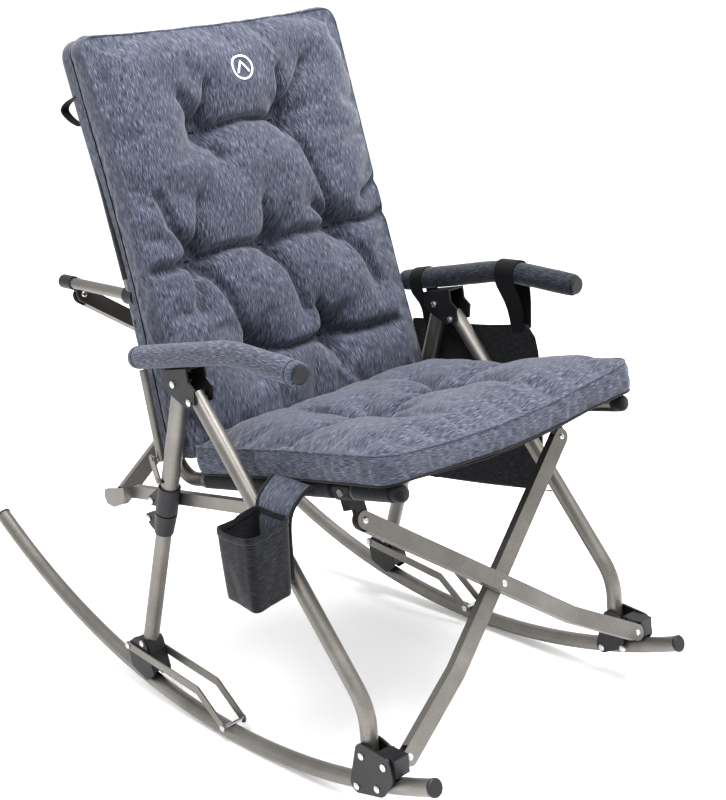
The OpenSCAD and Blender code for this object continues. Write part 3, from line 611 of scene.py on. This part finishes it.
back, back_seams = cushion(
    "back_pad", BACK_LEN, 26, (9, 7), back_front, back_rear, back_point,
    [(*t, 45) for t in BACK_TUFTS], BACK_CREASES, False, 3.0,
)
seat, seat_seams = cushion(
    "seat_pad", SEAT_LEN, 30, (6, 3), seat_top, seat_bottom, seat_point,
    [(*t, 25) for t in SEAT_TUFTS], SEAT_CREASES, True, 8.0,
)
for obj, node in ((back, "back_cushion"), (seat, "seat_cushion")):
    dressed(obj, heather, "right_seat")
    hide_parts(node)
    squashed(obj)
for label, loops in (("back", back_seams), ("seat", seat_seams)):
    for edge, loop, cord_r, cloth, slot in (
        ("front", loops[0], 1.5, heather, "heather_fabric"),
        ("rear", loops[1], 1.7, jet_cloth, "black_cloth"),
    ):
        cord = tube_along(f"{label}_seam_{edge}", loop, cord_r, up=(0.3, -0.8, 0.5), sides=8, closed=True)
        dressed(cord, cloth, "right_seat")
        squashed(cord)


def back_skirt():
    """The cover's boxing runs on behind the pad, over the uprights and their tops."""
    loop = back_seams[1]
    lean = np.array((0, math.cos(BACK_LEAN), -math.sin(BACK_LEAN)))
    tall = np.array((0, math.sin(BACK_LEAN), math.cos(BACK_LEAN)))
    along = (loop - np.array((0, *BACK_CORNER))) @ tall
    shown = [i for i in range(len(loop)) if along[i] > 4]
    gap = next((k for k in range(1, len(shown)) if shown[k] != shown[k - 1] + 1), 0)
    ring = loop[shown[gap:] + shown[:gap]]
    rows = []
    profile = ((-1.5, 0.3), (6, 0.0), (14, -0.2), (22, 0.0), (28, 1.4), (31.5, 5), (32.5, 10), (31.8, 16))
    for depth, inset in profile:
        row = []
        for run, q in enumerate(ring):
            inward = np.array((-np.sign(q[0]) * min(1.0, abs(q[0]) / 60), 0, 0))
            inward *= 1.0 if abs(q[0]) > 236 else 0.35
            top = smooth(((q - np.array((0, *BACK_CORNER))) @ tall - 590) / 40)
            wave = 0.8 * wobble(run / 9, depth / 20, 4)
            over_top = tall * 4.0 * top * smooth(depth / 10)
            row.append(q + lean * depth + inward * inset - tall * inset * top * 0.9 + over_top + inward * wave)
        rows.append(row)
    obj = grid("back_cover_skirt", rows, grain="rows", uv_at=(0.05, 0.0))
    final(rounded(thick(obj, 1.6)))
    dressed(obj, heather, "right_seat")
    squashed(obj)


back_skirt()


def on_surface(obj, origin, direction):
    tree = BVHTree.FromObject(obj, bpy.context.evaluated_depsgraph_get())

    def hit(s, a):
        start = Vector(origin(s, a)) * MM
        found = tree.ray_cast(start, direction, 0.3)[0]
        return np.array(found if found is not None else start) / MM

    return hit


into_back = Vector((0, math.cos(BACK_LEAN), -math.sin(BACK_LEAN)))
into_seat = Vector((0, -math.sin(SEAT_FALL), -math.cos(SEAT_FALL)))
back_skin = on_surface(back, lambda s, a: back_point(s, a, -90), into_back)
seat_skin = on_surface(seat, lambda s, a: seat_point(s, a, 140), into_seat)

# A short stitched bar in each tuft
for label, tufts, skin, lift in (
    ("back", BACK_TUFTS, back_skin, -np.array(into_back)),
    ("seat", SEAT_TUFTS, seat_skin, -np.array(into_seat)),
):
    for n, (ts, ta) in enumerate(tufts):
        line = np.array([skin(ts + x, ta) for x in np.linspace(-5, 5, 6)]) + 0.9 * lift
        bar = tube_along(f"{label}_tuft_{n}", line, 1.2, sides=8)
        dressed(bar, jet_cloth, "right_seat")
        squashed(bar)

# A plain ring round a tent, printed high on the back
def mark():
    centre, out = (5.0, 548.0), -0.7 * np.array(into_back)
    turn = np.linspace(0, 2 * math.pi, 49)
    ring = [[(centre[0] + r * math.sin(t), centre[1] + r * math.cos(t)) for t in turn] for r in (20.0, 18.2, 16.6)]
    shapes = [ring]
    for side in (-1, 1):
        outer = [(0, 12.0), (side * 12.5, -8.5)]
        inner = [(0, 7.5), (side * 8.2, -8.5)]
        strip = []
        for w in np.linspace(0, 1, 7):
            row = [np.array(e[0]) * (1 - w) + np.array(e[1]) * w for e in (outer, inner)]
            strip.append([tuple(np.array(centre) + row[0] * (1 - q) + row[1] * q) for q in (0, 0.5, 1)])
        shapes.append(strip)
    points, faces, uv = [], [], []
    for shape in shapes:
        rows, cols, first = len(shape), len(shape[0]), len(points)
        points += [back_skin(*p) + out for row in shape for p in row]
        for i in range(rows - 1):
            for j in range(cols - 1):
                at = [(i, j), (i, j + 1), (i + 1, j + 1), (i + 1, j)]
                faces.append([first + p * cols + q for p, q in at])
                uv += [(shape[p][q][0] * MM, shape[p][q][1] * MM) for p, q in at]
    return piece("tent_mark", points, faces, uv)


printed = final(thick(mark(), 0.5))
dressed(printed, print_white, "right_seat")
squashed(printed)


# --- slings under the cushions ---


def sling(name, node, low, high, gap, sag, label):
    """Cloth from rail to rail in three pieces: a panel, and a sleeve round each rail. gap is where the sleeves are
    left open, along the rail: (start, end on the right, end on the left)."""
    axis = (high - low) / np.linalg.norm(high - low)
    lift = np.array((-axis[1], axis[0]))
    if lift[1] < 0 and label == "seat":
        lift = -lift
    rows_n = int(np.linalg.norm(high - low) / 9)
    r = RAIL_R + 1.3
    wrap = np.radians(np.linspace(-150, 90, 15))
    across = np.linspace(-1, 1, 41)[1:-1]
    section = [(-RAIL_X - r * math.cos(t), r * math.sin(t)) for t in wrap]
    section += [(x * RAIL_X, r - sag * (1 - x * x) ** 1.5) for x in across]
    section += [(RAIL_X + r * math.cos(t), r * math.sin(t)) for t in wrap[::-1]]
    section = np.array(section)
    points = []
    length = np.linalg.norm(high - low)
    for i in range(rows_n + 1):
        w = i / rows_n
        at = low + (high - low) * w
        row = []
        for x, up in section:
            edge = math.exp(-min(w, 1 - w) * length / 60)
            drop = sag * 0.25 * edge * max(0.0, 1 - (x / RAIL_X) ** 2)
            ripple = 0.8 * wobble(x / 40, w * 9, 5) * max(0.0, 1 - (x / RAIL_X) ** 2)
            y, z = at + lift * (up - drop + ripple)
            row.append((x, y, z))
        points.append(row)
    sleeve = len(wrap) - 1
    points = np.array(points)
    last = len(section) - 1
    hems = []
    for n, row in enumerate((points[0], points[-1])):
        hems.append(tube_along(f"{label}_sling_hem_{n}", row[sleeve:-sleeve], 1.5, sides=6))
        dressed(hems[-1], jet_cloth, "right_seat")
        squashed(hems[-1])
    for part, body, first, end, side in (
        ("panel", "right_seat", sleeve, last - sleeve, 0),
        ("sleeve_right", "right_seat", 0, sleeve, -1),
        ("sleeve_left", "left_seat", last - sleeve, last, 1),
    ):
        open_at = gap[:2] if side < 0 else gap[::2]

        def keep(i, j):
            on_panel_side = j == sleeve - 1 if side < 0 else j == 0
            return not side or on_panel_side or not open_at[0] < (i + 0.5) / rows_n * length < open_at[1]

        obj = grid(f"{name}_{part}", points[:, first : end + 1], grain="rows", keep=keep)
        final(thick(obj, 1.3))
        dressed(obj, slub_cloth, body)
        if not side:
            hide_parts(node)
            squashed(obj)


rail_dir = (UNIT_CORNER - SEAT_FRONT) / np.linalg.norm(UNIT_CORNER - SEAT_FRONT)
clamp_run = (CLAMP_Y - SEAT_FRONT[0]) / rail_dir[0]
seat_low, seat_high = SEAT_FRONT + 3 * rail_dir, UNIT_CORNER - 70 * rail_dir
clamp_gap = (clamp_run - 3 - 18.5, clamp_run - 3 + 18.5, clamp_run - 3 + 30)
sling("seat_cloth", "seat_sling", seat_low, seat_high, clamp_gap, 12, "seat")
back_dir = (BACK_TOP - UNIT_CORNER) / np.linalg.norm(BACK_TOP - UNIT_CORNER)
back_low, back_high = UNIT_CORNER + 80 * back_dir, BACK_TOP - 14 * back_dir
for x, label in ((-RAIL_X, "right"), (RAIL_X, "left")):
    run, swell = np.array([-3, -1, 6, 12, 16, 18.5, 20]), [12.2, 12.9, 13.0, 12.8, 11.6, 8.6, 4.0]
    line = [(x, *(seat_low - rail_dir * (r - 3))) for r in run]
    boot = tube_along(f"rail_boot_{label}", line, swell, sides=20)
    final(rounded(boot))
    dressed(boot, jet_cloth, f"{label}_seat")
sling("back_cloth", "back_sling", back_low, back_high, (172, 238, 238), 8, "back")


loop_line = [
    (-243, 283, 972), (-244, 297, 968), (-244.5, 314, 961), (-245, 326, 951),
    (-244.5, 317, 942), (-244, 303, 934), (-243, 284, 928),
]
hang_loop = final(rounded(thick(ribbon("hang_loop", loop_line, (1, 0, 0), 15, columns=5), 1.5), 2))
dressed(hang_loop, webbing, "right_seat")
squashed(hang_loop)


# --- armrests, each mirrored across the chair ---


def arm_line(step=5.0):
    return bend_path(ARM_PATH, ARM_BEND_R, step)


def arm_z(y):
    p = arm_line()
    return float(np.interp(-y, -p[:, 0], p[:, 1]))


def arm_pad(side, label):
    p = arm_line()
    front = p[-1] + (p[-2] - p[-1]) / np.linalg.norm(p[-2] - p[-1]) * 1.5
    p = np.array([q for q in p if q[0] > front[0] + 3] + [front])
    x = side * ARM_X
    path = np.array([(x, y, z) for y, z in p])
    run = run_lengths(path)
    total = run[-1]
    hem = [0.4, 3, 9.5, 11.5, 13.5]
    stops = [0.0] + hem + list(np.linspace(20, total - 20, int(total / 6)))
    stops += [total - h for h in hem[::-1]] + [total]
    shape = {0.0: 13.2, 0.4: 16.0, 3: 17.2, 9.5: 17.3, 11.5: 16.7, 13.5: 17.4}
    centres = np.array([[np.interp(q, run, path[:, k]) for k in range(3)] for q in stops])
    _, across, normal = frames(centres, (0, 0, 1))
    turn = np.linspace(0, 2 * math.pi, 36, endpoint=False)
    rings = []
    for i, q in enumerate(stops):
        end = min(q, total - q)
        r = shape.get(round(end, 1), 17.7)
        ring = []
        for t in turn:
            body = smooth(np.array((end - 14) / 20))
            lump = 0.5 * wobble(q / 24 + 40 * side, math.cos(t) * 1.3, math.sin(t) * 1.3)
            lump += 0.45 * math.sin(q / 3.1) * wobble(q / 30, t)
            pinch = -0.9 * math.exp(-(((t - 1.5 * math.pi) / 0.13) ** 2))
            outward = math.cos(t) * across[i] + math.sin(t) * normal[i]
            ring.append(centres[i] + (r + body * lump + pinch * body) * outward)
        rings.append(ring)
    obj = grid(f"arm_sleeve_{label}", rings, closed=True, grain="columns", uv_at=(0.3 * side, 0.1))
    final(rounded(obj))
    body = f"{label}_frame"
    # Both sleeves are the same cloth; the left one gets the copy with painted shade
    dressed(obj, heather if side < 0 else painted_shade_heather, body)
    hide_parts(f"arm_pad_{label}")
    for n, stop in enumerate((11.5, total - 11.5)):
        c = np.array([np.interp(stop, run, path[:, k]) for k in range(3)])
        k = int(np.argmin(np.abs(np.array(stops) - stop)))
        turns = np.linspace(0, 2 * math.pi, 40, endpoint=False)
        circle = [c + 16.9 * (math.cos(t) * across[k] + math.sin(t) * normal[k]) for t in turns]
        t_dir = np.cross(across[k], normal[k])
        stitch = tube_along(f"arm_hem_{label}_{n}", circle, 0.7, up=t_dir, sides=6, closed=True)
        dressed(stitch, jet_cloth, body)


for side, label in ((-1, "right"), (1, "left")):
    arm_pad(side, label)


# --- cup holder on the sitter's right ---


def square_loop(half_x, half_y, corner, n=9):
    """A rounded rectangle as points round its middle, counted from the rear outer corner."""
    out = []
    for sx, sy, start in ((1, 1, 0), (-1, 1, 90), (-1, -1, 180), (1, -1, 270)):
        for k in range(n):
            t = math.radians(start + 90 * k / (n - 1))
            x, y = sx * (half_x - corner) + corner * math.cos(t), sy * (half_y - corner) + corner * math.sin(t)
            out.append((x, y))
    ring = np.array(out + out[:1])
    run = run_lengths(ring)
    at = np.linspace(0, run[-1], 73)[:-1]
    return np.stack([np.interp(at, run, ring[:, 0]), np.interp(at, run, ring[:, 1])], axis=1)


def cup_loop(w):
    """The pocket's wall at height w, from 0 at the base to 1 at the mouth."""
    taper = 0.90 + 0.10 * w
    loop = square_loop(CUP_HALF * taper, CUP_HALF * taper, 9)
    out = []
    for x, y in loop:
        flat_x, flat_y = abs(x) / (CUP_HALF * taper), abs(y) / (CUP_HALF * taper)
        side_mid = 1 - min(flat_x, flat_y) ** 2
        belly = 1 + 0.05 * math.sin(math.pi * w) * side_mid - 0.035 * (1 - w) ** 3 * side_mid
        fold = 0.9 * wobble(x / 16, y / 16, w * 3.2)
        corner_drop = 7.0 * (1 - w) * smooth(np.array((-x / CUP_HALF * 0.5 - y / CUP_HALF * 0.5)))
        rise = 9.0 * w * (0.5 + 0.5 * x / CUP_HALF) - 4.0 * w * side_mid * (1 if x < 0 else 0.4)
        z = CUP_LOW + 7 + (CUP_HIGH - 10 - CUP_LOW - 7) * w + rise - corner_drop
        out.append((CUP_X + x * belly - 1 + fold * side_mid, CUP_Y + y * belly + fold * side_mid, z))
    return out


walls = [cup_loop(w) for w in np.linspace(1, 0, 21)]
base = np.array(walls[-1])
middle = base.mean(axis=0)
for k in (0.93, 0.75, 0.5, 0.25, 0.03):
    walls.append([tuple(middle + (q - middle) * k + np.array((0, 0, 2.5 * (k - 1) * 0.6))) for q in base])
cup = grid("cup_pocket_cloth", walls, closed=True, grain="rows", uv_at=(0.2, 0.6))
final(rounded(thick(cup, 1.6)))
dressed(cup, slub_cloth, "right_frame")
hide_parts("cup_holder")

mouth = np.array(walls[0])


def band_round(name, loop, height, reach, body, material=jet_cloth):
    """Binding folded over a mouth: a flat band that follows a closed loop."""
    loop = np.asarray(loop, float)
    middle = loop.mean(axis=0)
    out = loop - middle
    out[:, 2] = 0
    out /= np.linalg.norm(out, axis=1)[:, None]
    half = [(-reach, -height), (-reach - 0.3, -height * 0.4), (-reach * 0.5, 0.9)]
    profile = half + [(-dx, dz) for dx, dz in half[::-1]]
    rows = [[q + o * dx + np.array((0, 0, dz)) for q, o in zip(loop, out)] for dx, dz in profile]
    obj = grid(name, rows, closed=True, grain="rows")
    final(rounded(thick(obj, 0.6)))
    return dressed(obj, material, body)


band_round("cup_mouth_binding", mouth, 9, 1.3, "right_frame", slub_cloth)

# Tab from the pocket's inner wall up to the seat's edge
inner_x = CUP_X + CUP_HALF
tab_rows = []
tab_line = [
    (inner_x - 2.6, 330), (inner_x - 2.4, 365), (inner_x - 2.2, 400), (inner_x - 1.0, 420), (inner_x + 3, 433),
    (inner_x + 12, 443), (inner_x + 23, 451), (inner_x + 35, 457.5), (inner_x + 43, 460.5),
]
for k, (x, z) in enumerate(tab_line):
    w = k / (len(tab_line) - 1)
    y0, y1 = CUP_Y - 33 - 3 * w, CUP_Y + 31 + 14 * w
    row = []
    for q in np.linspace(0, 1, 13):
        inset = 1.4 * math.sin(math.pi * q) * (1 - w)
        row.append((x - inset, y0 + (y1 - y0) * q, z + wobble(q * 3, w * 2)))
    tab_rows.append(row)
tab_points = np.array(tab_rows)
tab = grid("cup_tab", tab_points, grain="columns", uv_at=(0.7, 0.2))
final(rounded(thick(tab, 1.8)))
dressed(tab, heather, "right_frame")
for n, column in enumerate((0, -1)):
    edge = tab_points[:, column]
    strip = ribbon(f"cup_tab_binding_{n}", edge, (0, 1, 0), 7.0, columns=5)
    final(rounded(thick(strip, 3.0)))
    dressed(strip, jet_cloth, "right_frame")


# --- wide pocket and its straps on the sitter's left ---

POCKET_REAR = [(139, 240), (144, 330), (148, 420), (150, 505), (150, 528)]
POCKET_FRONT = [(-118, 272), (-132, 330), (-134, 420), (-132, 500), (-128, 530), (-110, 552)]


def pocket_edge(points, w):
    p = np.array(points, float)
    run = run_lengths(p)
    at = w * run[-1]
    return np.array([np.interp(at, run, p[:, 0]), np.interp(at, run, p[:, 1])])


def pocket_wall(outer):
    rows = []
    for w in np.linspace(0, 1, 25):
        rear, front = pocket_edge(POCKET_REAR, w), pocket_edge(POCKET_FRONT, w)
        row = []
        for q in np.linspace(0, 1, 41):
            y, z = rear + (front - rear) * q
            dip = (6.0 if outer else 2.0) * math.sin(math.pi * q) * smooth(np.array((w - 0.7) / 0.3))
            z -= 4.0 * math.sin(math.pi * q) * w + dip
            z += -2.5 * math.sin(math.pi * q) * (1 - w)
            full = math.sin(math.pi * q) ** 0.55 * (math.sin(math.pi * min(1, w * 0.5 + 0.03)) ** 0.5)
            crumple = 2.2 * wobble(q * 4.5, w * 4, 3) + 1.2 * wobble(q * 11, w * 7, 8)
            if outer:
                x = POCKET_X + (POCKET_DEEP - 4) * full + crumple * full
            else:
                x = POCKET_X + 1.2 + 0.8 * crumple * full * 0.3
            row.append((x, y, z))
        rows.append(row)
    return np.array(rows)


outer_wall, inner_wall = pocket_wall(True), pocket_wall(False)
loops = []
for o, i in zip(outer_wall[::-1], inner_wall[::-1]):
    loops.append(np.vstack([o, i[::-1][1:-1]]))
bottom_line = (outer_wall[0] + inner_wall[0]) / 2
loops.append(np.vstack([bottom_line, bottom_line[::-1][1:-1]]))
pocket = grid("side_pocket_cloth", loops, closed=True, grain="rows", uv_at=(0.5, 0.9))
final(rounded(thick(pocket, 1.6)))
dressed(pocket, slub_cloth, "left_frame")
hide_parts("side_pocket")
band_round("side_pocket_binding", loops[0], 11, 1.5, "left_frame")
seam_line = np.vstack([outer_wall[::-1, 0], bottom_line, outer_wall[:, -1]])
rim = tube_along("side_pocket_seam", seam_line[::2], 1.6, up=(1, 0, 0), sides=6)
dressed(rim, jet_cloth, "left_frame")


def strap_round_arm(label, y, width, tail_z, tail_width):
    """Webbing round the left armrest with a tail stitched to the pocket's outside."""
    cz, r = arm_z(y), 19.4
    slope = (arm_z(y - 8) - arm_z(y + 8)) / 16
    half_up = (tail_z + cz) / 2 - 2
    path = [(POCKET_X - 1.4, tail_z), (POCKET_X - 1.6, tail_z + 18), (POCKET_X - 6, half_up)]
    path += [(ARM_X - r + 3.2, cz - 22)]
    path += [(ARM_X + r * math.cos(t), cz + r * math.sin(t)) for t in np.radians(np.linspace(196, -12, 26))]
    path += [(ARM_X + r + 0.4, cz - 24), (POCKET_X + 15, half_up)]
    path += [(POCKET_X + 17, tail_z + 18), (POCKET_X + 19, tail_z)]
    run = run_lengths(path)
    ends = np.minimum(run, run[-1] - run) / 70
    wide = tail_width + (width - tail_width) * smooth(ends)
    points = [(x, y, z) for x, z in path]
    band = ribbon(f"arm_strap_{label}", points, (0, -1, slope), wide, columns=7)
    final(rounded(thick(band, 1.5)))
    return dressed(band, webbing, "left_frame")


straps = [strap_round_arm("front", -90, 42, 540, 27), strap_round_arm("rear", 112, 30, 524, 26)]
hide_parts("pocket_straps")

# --- the frame keeps its CAD shapes ---

BY_SLOT = {
    "tube_grey": tube, "bolt_steel": bolt, "black_plastic": black, "cap_plastic": black,
    "black_cloth": slub_cloth, "heather_fabric": heather,
}
for name, node in frame["nodes"].items():
    for k in range(len(node.data.materials)):
        node.data.materials[k] = BY_SLOT.get(node.data.materials[k].name.split(".")[0], tube)


def two_finishes(node, second, chosen):
    """Gives the faces whose middle passes chosen(x, y, z), in mm, the second material."""
    mesh = frame["nodes"][node].data
    mesh.materials.append(second)
    for f in mesh.polygons:
        if chosen(*(c / MM for c in f.center)):
            f.material_index = len(mesh.materials) - 1


for label in ("right", "left"):
    x_side = -RAIL_X if label == "right" else RAIL_X
    two_finishes(f"seat_rail_{label}", black, lambda x, y, z: (np.array((y, z)) - SEAT_FRONT) @ rail_dir < 0.05)
    two_finishes(f"back_upright_{label}", black, lambda x, y, z: (np.array((y, z)) - BACK_TOP) @ back_dir > -0.05)
    two_finishes(
        f"back_bracket_{label}", tube,
        lambda x, y, z, c=x_side: 236 < y < 384.5 and abs(math.hypot(x - c, z - STANDOFF_Z)) < 9.3,
    )


# --- floor, light and camera ---

floor_mesh = bpy.data.meshes.new("floor")
FLOOR, FLOOR_Z = 60, -0.001
floor_mesh.from_pydata(
    [(x * FLOOR, y * FLOOR, FLOOR_Z) for x, y in ((-1, -1), (1, -1), (1, 1), (-1, 1))], [], [(0, 1, 2, 3)]
)
floor = bpy.data.objects.new("floor", floor_mesh)
floor_mesh.materials.append(pale_floor())
scene.collection.objects.link(floor)

world = bpy.data.worlds.new("studio")
scene.world = world
world.use_nodes = True
world.node_tree.nodes["Background"].inputs["Color"].default_value = (1.0, 1.0, 1.0, 1.0)
world.node_tree.nodes["Background"].inputs["Strength"].default_value = 0.9


def softbox(name, place, target, size, power):
    light = bpy.data.lights.new(name, "AREA")
    light.shape, light.size, light.energy = "SQUARE", size, power
    obj = bpy.data.objects.new(name, light)
    scene.collection.objects.link(obj)
    obj.location = place
    obj.rotation_euler = (Vector(target) - Vector(place)).to_track_quat("-Z", "Y").to_euler()


softbox("key", (-1.6, -1.0, 3.1), (0, 0, 0.5), 1.3, 55)
softbox("top", (0.5, -0.9, 3.3), (0, 0, 0.4), 2.0, 135)

turn, rise, roll = math.radians(-41.75), math.radians(17.33), math.radians(-4.35)
backward = Vector((math.sin(turn) * math.cos(rise), -math.cos(turn) * math.cos(rise), math.sin(rise)))
right = Vector((math.cos(turn), math.sin(turn), 0))
up = backward.cross(right)
right, up = right * math.cos(roll) + up * math.sin(roll), up * math.cos(roll) - right * math.sin(roll)
camera = bpy.data.objects.new("camera", bpy.data.cameras.new("camera"))
camera.data.sensor_width, camera.data.lens = 36.0, 69.39
camera.data.dof.use_dof = False
pose = Matrix((right, up, backward)).transposed().to_4x4()
pose.translation = (-1.508, -1.717, 1.195)
camera.matrix_world = pose
scene.collection.objects.link(camera)
scene.camera = camera
scene.view_settings.view_transform = "Standard"
scene.view_settings.look = "Medium High Contrast"
